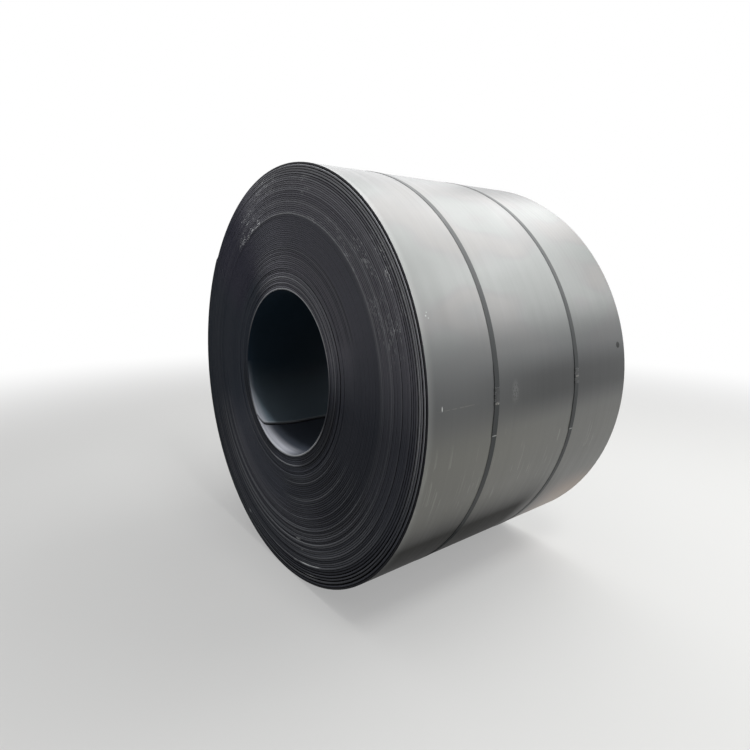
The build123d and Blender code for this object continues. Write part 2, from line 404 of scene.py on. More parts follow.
def mill_edge_material(coil, colours):
    """The strip's mill edge: rough dark oxide, a little different on every lap, with bright scuffs."""
    material, tree, shader = new_material("hot rolled mill edge")
    place, spoke, radius, angle, along = coil_place(tree, coil.axis_height)
    lap, proud, eased = (add_node(tree, "ShaderNodeAttribute", attribute_name=fact).outputs["Fac"]
                         for fact in ("lap", "proud", "eased"))
    by_lap = add_node(tree, "ShaderNodeTexNoise", {
        "W": lap, "Scale": 0.9, "Detail": 3.0, "Roughness": 0.7}, noise_dimensions="1D").outputs["Fac"]
    rolled = add_node(tree, "ShaderNodeCombineXYZ", {
        0: product(tree, angle, math.pi / 180, radius), 1: radius, 2: along}).outputs[0]
    specks = grain(tree, rolled, (60.0, 130.0, 60.0), 3.0, 0.65)
    tone = paint(tree, linear_colour(colours.edge), "#131418", specks, 0.5)
    plum = patch(tree, angle, radius, (112.0, 150.0, 10.0), (0.5, 0.9, 0.05))
    tone = paint(tree, tone, "#2E2838", plum, 0.4)
    # Painted shade on the lower right of the end, inside its outer laps
    dark = patch(tree, angle, radius, (-66.0, -8.0, 10.0), (0.3, 0.75, 0.05))
    tone = paint(tree, tone, "#101116", dark, 0.25)

    # Grey dust and rubbing: most on the upper right, some at the bottom, more on outer laps. The upper right
    # is lighter partly as painted light, from the side where the light falls
    upper = window(tree, angle, 8.0, 112.0, 20.0)
    lower = window(tree, angle, -150.0, -68.0, 16.0)
    inner_band = window(tree, radius, 0.3, 0.54, 0.04)
    outer_band = window(tree, radius, 0.702, 1.0, 0.004)
    rim_band = window(tree, radius, 0.81, 1.0, 0.03)
    top_dust_and_light = total(tree, 0.44, (inner_band, 0.24), (outer_band, 0.36), (rim_band, 0.24))
    low_dust = total(tree, 0.12, (window(tree, radius, 0.6, 0.69, 0.03), 0.14))
    side_dust = product(tree, window(tree, angle, -75.0, 10.0, 14.0), total(tree, 0.1, (outer_band, 0.08)))
    tone = paint(tree, tone, "#77767E", total(tree, side_dust, (upper, top_dust_and_light), (lower, low_dust)))
    # Painted highlight along the top of the rim
    top_rim_highlight = product(tree, rim_band, window(tree, angle, 28.0, 106.0, 14.0))
    tone = paint(tree, tone, "#96969C", top_rim_highlight, 0.4)

    # Where every lap shows: paler and darker laps, paler still near the top rim as a painted highlight, with
    # painted shade in the grooves between them
    parts = [(patch(tree, angle, radius, angles, radii), strength) for angles, radii, strength in LINED_PARTS]
    lined = total(tree, 0.0, *parts, clamp=True)
    paler = add_node(tree, "ShaderNodeMapRange", {
        "Value": by_lap, "From Min": 0.5, "From Max": 0.62}).outputs[0]
    darker = add_node(tree, "ShaderNodeMapRange", {
        "Value": by_lap, "From Min": 0.4, "From Max": 0.5, "To Min": 1.0, "To Max": 0.0}).outputs[0]
    tone = paint(tree, tone, "#85878C", lined, paler, total(tree, 0.3, (top_rim_highlight, 0.35)))
    tone = paint(tree, tone, "#0E0F13", lined, darker, 0.36)
    tone = paint(tree, tone, "#060608", lined, eased, 0.75)

    # The lap in the bore is rubbed paler low down and high up. A lap that stands proud is paler too,
    # partly rubbed and partly a painted highlight where it catches the light, most high up.
    # The laps that have sprung open near the bore get painted shade on both sides of the bottom
    rim = window(tree, radius, coil.bore_radius - 0.01, coil.bore_radius + coil.thickness, 0.001)
    rim_rub = total(tree, 0.0, (window(tree, angle, -150.0, -34.0, 10.0), 0.4),
                    (window(tree, angle, 20.0, 150.0, 25.0), 0.26))
    below = total(tree, window(tree, angle, -175.0, -10.0, 12.0),
                  (window(tree, angle, -104.0, -70.0, 8.0), -1.0))
    sprung = product(tree, window(tree, radius, 0.3785, 0.432, 0.002), below)
    # Painted shade on the sprung laps near the bore
    tone = paint(tree, tone, "#0B0C0F", sprung, 0.5)
    proud_rub_and_highlight = add_node(tree, "ShaderNodeMapRange", {
        "Value": proud, "From Min": 0.62, "From Max": 1.0, "To Max": 0.55}).outputs[0]
    proud_rub_and_highlight = product(tree, proud_rub_and_highlight, total(tree, 1.0, (sprung, -0.6)))
    highlight_side = total(tree, 0.15, (lower, 0.25), (upper, 0.7), clamp=True)

    # The loose outer laps: painted highlights on the outer corners on the right, painted shade on the flat
    # edges and on the last lap
    outwards = add_node(tree, "ShaderNodeVectorMath", {
        0: add_node(tree, "ShaderNodeNewGeometry").outputs["True Normal"], 1: spoke},
        operation="DOT_PRODUCT").outputs["Value"]
    corner = add_node(tree, "ShaderNodeMath", {0: outwards, 1: product(tree, radius, 0.4)},
                      operation="GREATER_THAN").outputs[0]
    lap_rub = add_node(tree, "ShaderNodeMapRange", {
        "Value": by_lap, "From Min": 0.38, "From Max": 0.55, "To Min": 0.4}).outputs[0]
    loose = product(tree, patch(tree, angle, lap, (-14.0, 92.0, 22.0), (59.8, 63.1, 0.3)), lap_rub)
    tone = paint(tree, tone, "#0B0C0E", loose, total(tree, 1.0, (corner, -1.0)), 0.3)
    tone = paint(tree, tone, "#0B0C0E", window(tree, lap, 63.3, 70.0, 0.2), 0.75)
    # Paler: the rubbed rim in the bore, with the painted highlights on proud laps and on the loose laps'
    # outer corners
    pale = total(tree, 0.0, (rim, rim_rub), (proud_rub_and_highlight, highlight_side),
                 (loose, total(tree, 0.18, (corner, 0.82))), clamp=True)
    tone = paint(tree, tone, "#CACCD0", pale)

    # Scuffs on the front end: short bright marks along the laps, in patches, and single nicks
    marks = window(tree, grain(tree, rolled, (42.0, 250.0, 42.0), 3.0, 0.75), 0.58, 1.0, 0.03)
    clumps = window(tree, grain(tree, rolled, (14.0, 26.0, 14.0)), 0.46, 1.0, 0.05)
    patches = [(patch(tree, angle, radius, angles, (*radii, 0.01)), strength)
               for angles, radii, strength in SCUFF_PATCHES]
    nicks = [(oval(tree, angle, radius, (turn, high), half_turn, half_high, 0.6), strength)
             for turn, half_turn, high, half_high, strength in NICKS]
    scuffs = total(tree, product(tree, total(tree, 0.0, *patches), marks, clumps), *nicks)
    tone = paint(tree, tone, "#D2D4D6", scuffs, window(tree, along, -1.0, -0.5, 0.01))
    bump = add_node(tree, "ShaderNodeBump", {"Height": specks, "Strength": 0.3, "Distance": 0.0008})
    set_inputs(tree, shader, {
        "Base Color": tone, "Roughness": 0.6, "Specular IOR Level": 0.06, "Normal": bump.outputs[0]})
    return material


# Each strap: its seal's place in degrees, where its tongue ends and where the tongue jogs aside,
# then how far it jogs towards the front, in mm
STRAPS = {
    "front": {"seal": 1.1, "tongue_end": -7.9, "jog_from": -2.6, "jog": 2.0},
    "rear": {"seal": 2.0, "tongue_end": -11.9, "jog_from": -3.1, "jog": 3.0},
}

# The rubbed place on each seal: degrees, half its turn, and half its length along the coil
SEAL_RUBS = {"front": (-0.55, 0.35, 0.009), "rear": (1.98, 0.2, 0.009)}


def blued_strap_material(coil, colours):
    """Cold rolled strapping, blued in the furnace: nearly black, with a faint satin sheen."""
    material, tree, shader = new_material("blued steel strapping")
    place, spoke, radius, angle, along = coil_place(tree, coil.axis_height)
    clouds = grain(tree, place, 9.0, 3.0)
    tone = paint(tree, linear_colour(colours.strap), "#25292A", clouds)

    # The sheared end of each tongue shines. On the underside the reflection is turned down, as painted shade,
    # as on the scale beside it
    for strap, facts in STRAPS.items():
        end = oval(tree, angle, along, (facts["tongue_end"] + 0.12, middle_y("seal_" + strap)), 0.16, 0.012)
        tone = paint(tree, tone, "#B0B2B0", end, 0.55)
    painted_shade_below = patch(tree, angle, along, (-70.0, -30.0, 7.0), (-1.0, 0.0, 0.15))
    rough = add_node(tree, "ShaderNodeMapRange", {"Value": clouds, "To Min": 0.45, "To Max": 0.6}).outputs[0]
    bump = add_node(tree, "ShaderNodeBump", {
        "Height": grain(tree, place, (4.0, 900.0, 4.0)), "Strength": 0.2, "Distance": 0.0002}).outputs[0]
    set_inputs(tree, shader, {
        "Base Color": tone, "Roughness": rough, "IOR": 1.4,
        "Specular IOR Level": total(tree, 0.5, (painted_shade_below, -0.485)), "Normal": bump})
    return material


def seal_material(coil, colours):
    """Seal sheet, blued as the straps are, with a few places rubbed bare by the crimping tool."""
    material, tree, shader = new_material("crimped seal steel")
    place, spoke, radius, angle, along = coil_place(tree, coil.axis_height)
    rubs = grain(tree, place, 160.0, 3.0, 0.6)
    spots = add_node(tree, "ShaderNodeMapRange", {
        "Value": rubs, "From Min": 0.55, "From Max": 0.72}).outputs[0]
    tone = paint(tree, linear_colour(colours.seal), "#3E4040", spots)
    bare = add_node(tree, "ShaderNodeMapRange", {
        "Value": rubs, "From Min": 0.4, "From Max": 0.6, "To Min": 0.15, "To Max": 0.65}).outputs[0]
    for strap, (turn, half_turn, half_along) in SEAL_RUBS.items():
        rubbed = oval(tree, angle, along, (turn, middle_y("seal_" + strap)), half_turn, half_along)
        tone = paint(tree, tone, "#A8A69E", rubbed, bare)
    bump = add_node(tree, "ShaderNodeBump", {"Height": rubs, "Strength": 0.3, "Distance": 0.0003})
    set_inputs(tree, shader, {
        "Base Color": tone, "Roughness": 0.42, "IOR": 1.5, "Normal": bump.outputs[0]})
    return material


def sheared_material(colours):
    """Freshly sheared steel: bare, bright and finely lined."""
    material, tree, shader = new_material("sheared bare steel")
    place = add_node(tree, "ShaderNodeTexCoord").outputs["Object"]
    tone = paint(tree, linear_colour(colours.bare), "#C4C6C6", grain(tree, place, 400.0))
    set_inputs(tree, shader, {"Base Color": tone, "Metallic": 0.6, "Roughness": 0.35})
    return material


def rise(angle, arc):
    """0 at the start of an arc and 1 at its end, as on a circle set off the centre."""
    return (1 - math.cos(angle)) / (1 - math.cos(arc))


def bore_wall(coil, angle):
    """Radius of the bore: a circle that opens by one strip thickness up to the head."""
    from_round = (coil.head_angle + coil.head_arc - angle) % math.tau
    if from_round >= coil.head_arc:
        return coil.bore_radius
    return coil.bore_radius + coil.thickness * rise(from_round, coil.head_arc)


def coil_outline(coil, angle):
    """Radius of the outside: a half circle from the tail on, then one that closes in."""
    from_tail = (angle - coil.tail_angle) % math.tau
    if from_tail <= math.pi:
        return coil.outer_radius
    return coil.outer_radius - coil.thickness * rise(from_tail - math.pi, math.pi)


# Gap between a lap and the next, in mm, at laps counted from the bore: tight, with four
# slightly sprung laps near the bore, and counted from the tail: the loose outer ones
TIGHT_GAPS = [(0.0, 0.2), (1.05, 0.2), (1.25, 1.8), (1.7, 1.8), (1.9, 0.2), (3.05, 0.2), (3.2, 2.4),
              (3.7, 2.4), (3.9, 0.2), (6.05, 0.2), (6.2, 2.6), (6.7, 2.6), (6.9, 0.2), (9.1, 0.2),
              (9.25, 1.6), (9.65, 1.6), (9.9, 0.2)]
LOOSE_GAPS = [(8.7, 0.25), (7.2, 0.8), (6.2, 1.4), (5.2, 2.8), (4.2, 3.4), (3.0, 3.0), (2.1, 5.4),
              (1.6, 3.6), (1.0, 2.6)]

# The sprung laps near the bore end at this lap. The shares say how even the gaps are on the left,
# and how close the laps beyond it lie at the upper left
SPRUNG_INSIDE = 11.0
EVEN_ON_LEFT = 0.85
CLOSE_AT_UPPER_LEFT = 0.9


def gap_shares(coil, turns, steps):
    """The share of all the gaps that lies inside each point of the strip, 0 on the first lap."""
    stops = TIGHT_GAPS + [(turns - back, gap) for back, gap in LOOSE_GAPS]
    shares = [0.0]
    for step in range(1, steps + 1):
        lap = turns * step / steps
        gap = 0.0
        for (lap_a, gap_a), (lap_b, gap_b) in zip(stops, stops[1:]):
            if lap_a <= lap <= lap_b:
                gap = gap_a + (gap_b - gap_a) * (lap - lap_a) / (lap_b - lap_a)
        shares.append(shares[-1] + gap)
    return [share / shares[-1] for share in shares]


def bell(value, centre, half_width):
    """A smooth bump, 1 at its centre."""
    return math.exp(-((value - centre) / half_width) ** 2)


def degrees_from(place, angle):
    """How far round the coil an angle lies from a place in degrees, either way."""
    away = math.degrees((angle - math.radians(place)) % math.tau)
    return min(away, 360 - away)


def left_side(angle):
    """1 on the coil's left, where its laps lie close and even, falling to 0 on the right."""
    return bell(degrees_from(160, angle), 0, 55)


def upper_left(angle):
    """1 at the coil's upper left, where its loose outer laps lie close too, falling to 0 around it."""
    return bell(max(0, degrees_from(125, angle) - 25), 0, 20)


def gap_share(shares, turns, lap, angle):
    """The share of the gaps inside a point of the strip, with the laps close where the coil shows them so."""
    even = EVEN_ON_LEFT * left_side(angle)

    def share_at(place):
        step = round(place / turns * (len(shares) - 1))
        return shares[step] * (1 - even) + place / turns * even

    share = share_at(lap)
    if lap > SPRUNG_INSIDE:
        start = share_at(SPRUNG_INSIDE)
        spread = start + (1 - start) * (lap - SPRUNG_INSIDE) / (turns - SPRUNG_INSIDE)
        share += (spread - share) * CLOSE_AT_UPPER_LEFT * upper_left(angle)
    return share


def stand_out(lap, turns, angle):
    """How far a lap stands out of the front end, in mm. The strip is as wide as it is all along."""
    from_bottom = degrees_from(-80, angle)
    strength = 0.2 + 0.8 * bell(lap, 6, 11) + 0.5 * bell(lap, turns - 6, 14)
    strength += 1.1 * bell(from_bottom, 0, 50) * bell(lap, turns - 16, 18)
    wander = math.sin(2.35 * lap) + 0.7 * math.sin(1.13 * lap + 1) + 0.5 * math.sin(5.1 * lap + 2)
    slow = 0.9 * math.sin(0.31 * lap) + 0.5 * math.sin(0.13 * lap + 2)
    ridge = 2.2 * bell(lap, 39.2, 0.7) - 2.6 * bell(lap, 35.5, 0.6) * bell(from_bottom, 20, 60)
    ridge -= 1.8 * (bell(lap, 2.2, 0.5) + bell(lap, 9.6, 0.5) + bell(lap, 17.0, 0.5))
    return (strength * wander + ridge) * (1 - 0.75 * left_side(angle)) + 0.6 * slow


def proud_fact(out):
    """How far a lap stands out, as the number from about 0 to 1 that its material reads."""
    return 0.5 + out / 6


def on_coil(coil, radius, angle, y):
    """The point at a radius and angle about the coil's axis."""
    return (radius * math.cos(angle), y, coil.axis_height + radius * math.sin(angle))


def placed(context, name, data):
    """A new object in the scene, at the origin."""
    piece = bpy.data.objects.new(name, data)
    context.scene.collection.objects.link(piece)
    return piece


def smoothed(mesh, angle=30.0):
    """Shades a mesh smooth, but for its real corners."""
    mesh.shade_smooth()
    mesh.set_sharp_from_angle(angle=math.radians(angle))
    return mesh


def closed_mesh(name, shape, *materials):
    """The mesh of a closed shape, with its faces outwards and with those materials."""
    bmesh.ops.recalc_face_normals(shape, faces=shape.faces)
    mesh = bpy.data.meshes.new(name)
    shape.to_mesh(mesh)
    shape.free()
    for material in materials:
        mesh.materials.append(material)
    return mesh


def path_mesh(coil, name, spots, facts=None):
    """A chain of edges for a strip to follow, through (radius, angle, y) spots about the coil's axis.
    Every point has its outward direction and other facts."""
    mesh = bpy.data.meshes.new(name)
    edges = [(i, i + 1) for i in range(len(spots) - 1)]
    mesh.from_pydata([on_coil(coil, *spot) for spot in spots], edges, [])
    outward = [value for _, angle, _ in spots for value in (math.cos(angle), 0.0, math.sin(angle))]
    mesh.attributes.new("outward", "FLOAT_VECTOR", "POINT").data.foreach_set("vector", outward)
    for fact, values in (facts or {}).items():
        mesh.attributes.new(fact, "FLOAT", "POINT").data.foreach_set("value", values)
    return mesh


def swept_strip_tree():
    """The node tree that rolls a strip along a path. Its narrow sides get a material of their own."""
    tree = bpy.data.node_groups.new("Swept strip", "GeometryNodeTree")
    for name, kind in (("Path", "Geometry"), ("Thickness", "Float"), ("Width", "Float"),
                       ("Corner", "Float"), ("Rolled face", "Material"), ("Edge", "Material")):
        tree.interface.new_socket(name=name, in_out="INPUT", socket_type="NodeSocket" + kind)
    tree.interface.new_socket(name="Strip", in_out="OUTPUT", socket_type="NodeSocketGeometry")
    given = add_node(tree, "NodeGroupInput").outputs
    line = add_node(tree, "GeometryNodeMeshToCurve", {"Mesh": given["Path"]})
    outward = add_node(tree, "GeometryNodeInputNamedAttribute", {"Name": "outward"},
                       data_type="FLOAT_VECTOR")
    aimed = add_node(tree, "GeometryNodeSetCurveNormal", {
        "Curve": line.outputs[0], "Normal": outward.outputs["Attribute"]}, mode="FREE")
    section = add_node(tree, "GeometryNodeCurvePrimitiveQuadrilateral", {
        "Width": given["Thickness"], "Height": given["Width"]})
    eased = add_node(tree, "GeometryNodeFilletCurve", {
        "Curve": section.outputs[0], "Radius": given["Corner"], "Count": 1}, mode="POLY")
    swept = add_node(tree, "GeometryNodeCurveToMesh", {
        "Curve": aimed.outputs[0], "Profile Curve": eased.outputs[0], "Fill Caps": True})
    real = add_node(tree, "GeometryNodeRealizeInstances", {0: swept.outputs[0]})
    faces = add_node(tree, "GeometryNodeSetMaterial", {
        "Geometry": real.outputs[0], "Material": given["Rolled face"]})
    normal = add_node(tree, "GeometryNodeInputNormal")
    parts = add_node(tree, "ShaderNodeSeparateXYZ", {0: normal.outputs[0]})
    sideways = add_node(tree, "ShaderNodeMath", {0: parts.outputs["Y"]}, operation="ABSOLUTE")
    narrow = add_node(tree, "FunctionNodeCompare", {0: sideways.outputs[0], 1: 0.5},
                      data_type="FLOAT", operation="GREATER_THAN")
    edges = add_node(tree, "GeometryNodeSetMaterial", {
        "Geometry": faces.outputs[0], "Selection": narrow.outputs[0], "Material": given["Edge"]})
    wide = add_node(tree, "FunctionNodeCompare", {0: sideways.outputs[0], 1: 0.9},
                    data_type="FLOAT", operation="LESS_THAN")
    corners = add_node(tree, "GeometryNodeStoreNamedAttribute", {
        "Geometry": edges.outputs[0], "Name": "eased", "Value": wide.outputs[0]},
        data_type="FLOAT", domain="FACE")
    add_node(tree, "NodeGroupOutput", {0: corners.outputs[0]})
    return tree


def sweep_strip(context, name, path, values):
    """Runs the swept strip tree on a path and leaves a plain mesh."""
    tree = bpy.data.node_groups.get("Swept strip") or swept_strip_tree()
    carrier = placed(context, name + "_path", path)
    modifier = carrier.modifiers.new("Swept strip", "NODES")
    modifier.node_group = tree
    for item in tree.interface.items_tree:
        if item.in_out == "INPUT" and item.name in values:
            modifier[item.identifier] = values[item.name]
    carrier.data.update_tag()
    graph = context.evaluated_depsgraph_get()
    mesh = bpy.data.meshes.new_from_object(carrier.evaluated_get(graph), depsgraph=graph)
    bpy.data.objects.remove(carrier)
    mesh.name = name
    return placed(context, name, smoothed(mesh))


def sharpen_seams(mesh):
    """Keeps a strip's flat faces flat: an edge is sharp between two materials or at a square corner."""
    owner = {}
    sharp = [False] * len(mesh.edges)
    for face in mesh.polygons:
        for loop in face.loop_indices:
            edge = mesh.loops[loop].edge_index
            other = owner.setdefault(edge, face)
            if other.material_index != face.material_index or other.normal.dot(face.normal) < 0.5:
                sharp[edge] = True
    mesh.edges.foreach_set("use_edge_sharp", sharp)


# The whole rounded end, in degrees of the bore
END_TURN = 13.0

# Distances of the rounded end's columns from the strip's edge, in mm, and its rows round the coil
END_INSETS = [0, 2, 4, 6, 9, 12, 16, 20, 25, 30, 45, 65, 95, 130, 180, 400]
END_ROWS = 8


def end_turn(coil, radius):
    """The whole rounded end as an angle. Head and tail are rounded alike, so it is less further out."""
    return math.radians(END_TURN) * coil.bore_radius / radius


def end_lag(depth):
    """How far a rounded end lags behind its middle, at a distance from the strip's edge, as a share."""
    turns = [turn * max(0.0, 1 - depth / reach) ** power for turn, reach, power in END_CURVES]
    return sum(turns) / END_TURN


def add_end(coil, mesh, end_angle, way, low_radius, count, out):
    """Adds a rounded end of the strip where the swept strip stops short of it."""
    whole = end_turn(coil, low_radius)
    half = coil.width / 2
    places = [inset * MM - half for inset in END_INSETS]
    places += [half - inset * MM for inset in reversed(END_INSETS)]
    start = end_angle - way * whole
    shape = bmesh.new()
    shape.from_mesh(mesh)
    lap = shape.verts.layers.float["lap"]
    proud = shape.verts.layers.float["proud"]
    grid = {}
    for skin, radius in enumerate((low_radius, low_radius + coil.thickness)):
        for column, y in enumerate(places):
            reach = way * whole * (1 - end_lag(half - abs(y)))
            for row in range(END_ROWS + 1):
                angle = start + reach * row / END_ROWS
                vert = shape.verts.new(on_coil(coil, radius, angle, y - out * MM))
                vert[lap] = count
                vert[proud] = proud_fact(out)
                grid[skin, column, row] = vert
    added = []

    def add_face(material, *corners):
        face = shape.faces.new([grid[corner] for corner in corners])
        face.material_index = material
        face.smooth = True
        added.append(face)

    last = len(places) - 1
    for a in range(last):
        b = a + 1
        for row in range(END_ROWS):
            for skin in (0, 1):
                add_face(0, (skin, a, row), (skin, b, row), (skin, b, row + 1), (skin, a, row + 1))
        for row in (0, END_ROWS):
            add_face(1, (0, a, row), (0, b, row), (1, b, row), (1, a, row))
    for row in range(END_ROWS):
        for column in (0, last):
            add_face(1, (0, column, row), (0, column, row + 1), (1, column, row + 1), (1, column, row))
    bmesh.ops.recalc_face_normals(shape, faces=added)
    shape.to_mesh(mesh)
    shape.free()


class COIL_OT_strip(bpy.types.Operator):
    """Winds the strip into the coil, from its head in the bore to its tail outside"""

    bl_idname = "coil.wind_strip"
    bl_label = "Wind the strip"

    def execute(self, context):
        coil = context.scene.coil_sizes
        colours = context.scene.steel_colours
        part_lap = (coil.head_angle - coil.tail_angle) % math.tau
        turns = coil.full_laps + part_lap / math.tau
        steps = round(turns * coil.sections)
        first = math.floor(end_turn(coil, coil.bore_radius) / math.tau * coil.sections)
        last = steps - math.floor(end_turn(coil, coil.outer_radius) / math.tau * coil.sections)
        shares = gap_shares(coil, turns, steps)
        spots = []
        laps = []
        proud = []
        for step in range(first, last + 1):
            lap = turns * step / steps
            angle = coil.head_angle - lap * math.tau
            from_tail = (angle - coil.tail_angle) % math.tau
            count = coil.full_laps + (1 if from_tail < part_lap else 0)
            wall = bore_wall(coil, angle)
            spare = coil_outline(coil, angle) - wall - count * coil.thickness
            share = gap_share(shares, turns, lap, angle)
            inner = wall + math.floor(lap + 1e-9) * coil.thickness + spare * share
            out = stand_out(lap, turns, angle)
            spots.append((inner + coil.thickness / 2, angle, -out * MM))
            laps.append(lap)
            proud.append(proud_fact(out))
        path = path_mesh(coil, "strip_path", spots, {"lap": laps, "proud": proud})
        strip = sweep_strip(context, "coil_strip", path, {
            "Thickness": coil.thickness, "Width": coil.width, "Corner": coil.corner,
            "Rolled face": mill_scale_material(coil, colours),
            "Edge": mill_edge_material(coil, colours)})
        add_end(coil, strip.data, coil.head_angle, 1, coil.bore_radius, 0.0,
                stand_out(0.0, turns, coil.head_angle))
        add_end(coil, strip.data, coil.tail_angle, -1, coil.outer_radius - coil.thickness, turns,
                stand_out(turns, turns, coil.tail_angle))
        self.line_hidden(coil, strip.data, bore_scale_material(coil, colours), covered_scale_material())
        sharpen_seams(strip.data)
        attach(strip, "root")
        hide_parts("coil")
        return {"FINISHED"}

    def line_hidden(self, coil, mesh, bore, covered):
        """Gives the faces that the bore shows, and those between the laps, materials of their own."""
        for material in (bore, covered):
            mesh.materials.append(material)
        axis = Vector((0.0, 0.0, coil.axis_height))
        bore_limit = coil.bore_radius + 1.3 * coil.thickness
        for face in mesh.polygons:
            spoke = face.center - axis
            spoke.y = 0.0
            faces_in = face.normal.dot(spoke) < -0.9 * spoke.length
            if spoke.length < bore_limit and faces_in:
                face.material_index = mesh.materials.find(bore.name)
            elif face.material_index == 0 and self.is_covered(coil, spoke):
                face.material_index = mesh.materials.find(covered.name)

    def is_covered(self, coil, spoke):
        """Whether a lap lies over that place. The tail's rounded corners leave a bit of one bare."""
        angle = math.atan2(spoke.z, spoke.x)
        at_tail = (angle - coil.tail_angle) % math.tau < 1.2 * end_turn(coil, coil.outer_radius)
        covers = 1.8 if at_tail else 0.5
        return spoke.length < coil_outline(coil, angle) - covers * coil.thickness


def strap_support(coil, angle):
    """Radius that a tight strap lies on: the outline, bridged by a straight run beside the tail."""
    offset = coil.thickness / 2
    bridge = math.acos((coil.outer_radius - offset) / (coil.outer_radius + offset))
    before_tail = (coil.tail_angle - angle) % math.tau
    if before_tail > bridge + math.asin(offset / coil.outer_radius):
        return coil_outline(coil, angle)
    reach = coil.outer_radius - offset - offset * math.cos(bridge)
    return max(reach / math.cos(before_tail - bridge), coil_outline(coil, angle))


def smooth_step(value):
    """0 below 0 and 1 above 1, with a smooth climb between."""
    value = min(max(value, 0.0), 1.0)
    return value * value * (3 - 2 * value)


# How far a strap's lower end reaches past its seal's middle, in metres. The tongue climbs onto that
# end over one turn, in degrees, and jogs aside over another
LOWER_END_REACH = 0.09
CLIMB_TURN = 2.5
JOG_TURN = 1.5
STRAP_SECTIONS_A_DEGREE = 1.2

# Two layers of strap lie this much further apart than their thickness, as a share
LAYER_PITCH = 1.03


class COIL_OT_straps(bpy.types.Operator):
    """Lays the two straps round the coil, each with its tongue over its lower end"""

    bl_idname = "coil.lay_straps"
    bl_label = "Lay the straps"

    def execute(self, context):
        coil = context.scene.coil_sizes
        strap = context.scene.strap_sizes
        colours = context.scene.steel_colours
        blued = blued_strap_material(coil, colours)
        for place, facts in STRAPS.items():
            middle = middle_y("seal_" + place)
            start = facts["seal"] + math.degrees(LOWER_END_REACH / coil.outer_radius)
            turn = 360 + start - facts["tongue_end"]
            steps = round(turn * STRAP_SECTIONS_A_DEGREE)
            spots = []
            for step in range(steps + 1):
                run = turn * step / steps
                angle = math.radians(start - run)
                climb = smooth_step((run - 360 + CLIMB_TURN) / CLIMB_TURN)
                aside = smooth_step((run - 360 - start + facts["jog_from"]) / JOG_TURN)
                lift = strap.thickness * (0.5 + LAYER_PITCH * climb)
                spots.append((strap_support(coil, angle) + lift, angle, middle - aside * facts["jog"] * MM))
            path = path_mesh(coil, "strap_path", spots)
            band = sweep_strip(context, "strap_band_" + place, path, {
                "Thickness": strap.thickness, "Width": strap.width,
                "Corner": strap.thickness * 0.3, "Rolled face": blued, "Edge": blued})
            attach(band, "root")
            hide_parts("strap_" + place)
        return {"FINISHED"}


def seal_section(strap):
    """Half the seal's channel section, as (across, up) points: outside from the foot, then inside."""
    inner_half = strap.width / 2 + strap.clearance
    outer_half = inner_half + strap.sheet
    inner_top = 2.06 * strap.thickness
    outer_top = inner_top + strap.sheet
    bend = 0.9 * strap.sheet
    outside = [(outer_half, 0.0), (outer_half, outer_top - bend)]
    for step in (1, 2, 3):
        turn = math.radians(step * 30)
        outside.append((outer_half - bend + bend * math.cos(turn), outer_top - bend + bend * math.sin(turn)))
    inside = [(inner_half - 0.2 * strap.sheet, inner_top), (inner_half, inner_top - 0.2 * strap.sheet),
              (inner_half, 0.0)]
    return outside, inside


# Cross sections along each seal
SEAL_STATIONS = 17


class COIL_OT_seals(bpy.types.Operator):
    """Closes a seal over the ends of each strap and cuts its crimped notches"""

    bl_idname = "coil.close_seals"
    bl_label = "Close the seals"

    def execute(self, context):
        coil = context.scene.coil_sizes
        strap = context.scene.strap_sizes
        colours = context.scene.steel_colours
        blued = seal_material(coil, colours)
        sheared = sheared_material(colours)
        outside, inside = seal_section(strap)
        loop = [(-a, up) for a, up in outside]
        loop += [(a, up) for a, up in reversed(outside)]
        loop += [(a, up) for a, up in reversed(inside)]
        loop += [(-a, up) for a, up in inside]
        for place, facts in STRAPS.items():
            middle = middle_y("seal_" + place)
            half_turn = strap.seal_length / 2 / coil.outer_radius
            shape = bmesh.new()
            rings = []
            for station in range(SEAL_STATIONS):
                share = 2 * station / (SEAL_STATIONS - 1) - 1
                angle = math.radians(facts["seal"]) + half_turn * share
                base = coil_outline(coil, angle)
                rings.append([shape.verts.new(on_coil(coil, base + up, angle, middle + a))
                              for a, up in loop])
            for ring, following in zip(rings, rings[1:]):
                for i in range(len(loop)):
                    j = (i + 1) % len(loop)
                    shape.faces.new((ring[i], ring[j], following[j], following[i]))
            for ring in (rings[0], rings[-1]):
                shape.faces.new(ring).material_index = 1
            name = "seal_sleeve_" + place
            seal = placed(context, name, smoothed(closed_mesh(name, shape, blued, sheared)))
            cutter = self.notch_cutter(context, coil, strap, facts, middle, sheared)
            cut = seal.modifiers.new("Notches", "BOOLEAN")
            cut.object = cutter
            cut.solver = "EXACT"
            cut.material_mode = "TRANSFER"
            graph = context.evaluated_depsgraph_get()
            notched = bpy.data.meshes.new_from_object(seal.evaluated_get(graph), depsgraph=graph)
            seal.modifiers.clear()
            bpy.data.objects.remove(cutter)
            seal.data = smoothed(notched, 35.0)
            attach(seal, "root")
            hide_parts("seal_" + place)
        return {"FINISHED"}

    def notch_cutter(self, context, coil, strap, facts, middle, material):
        """Four wedges, flared outwards, that cut the notches into one seal."""
        shape = bmesh.new()
        outer_half = strap.width / 2 + strap.clearance + strap.sheet
        for side in (-1, 1):
            for end in (-1, 1):
                angle = math.radians(facts["seal"]) + end * strap.notch_spacing / 2 / coil.outer_radius
                corners = []
                for depth, half in ((strap.notch_depth, strap.notch_length / 2),
                                    (-2 * strap.sheet, strap.notch_length * 0.75)):
                    for up in (-2 * MM, 6 * MM):
                        for way in (-1, 1):
                            turn = angle + way * half / coil.outer_radius
                            y = middle + side * (outer_half - depth)
                            corners.append(shape.verts.new(
                                on_coil(coil, coil.outer_radius + up, turn, y)))
                bmesh.ops.convex_hull(shape, input=corners)
        return placed(context, "notches", closed_mesh("notches", shape, material))


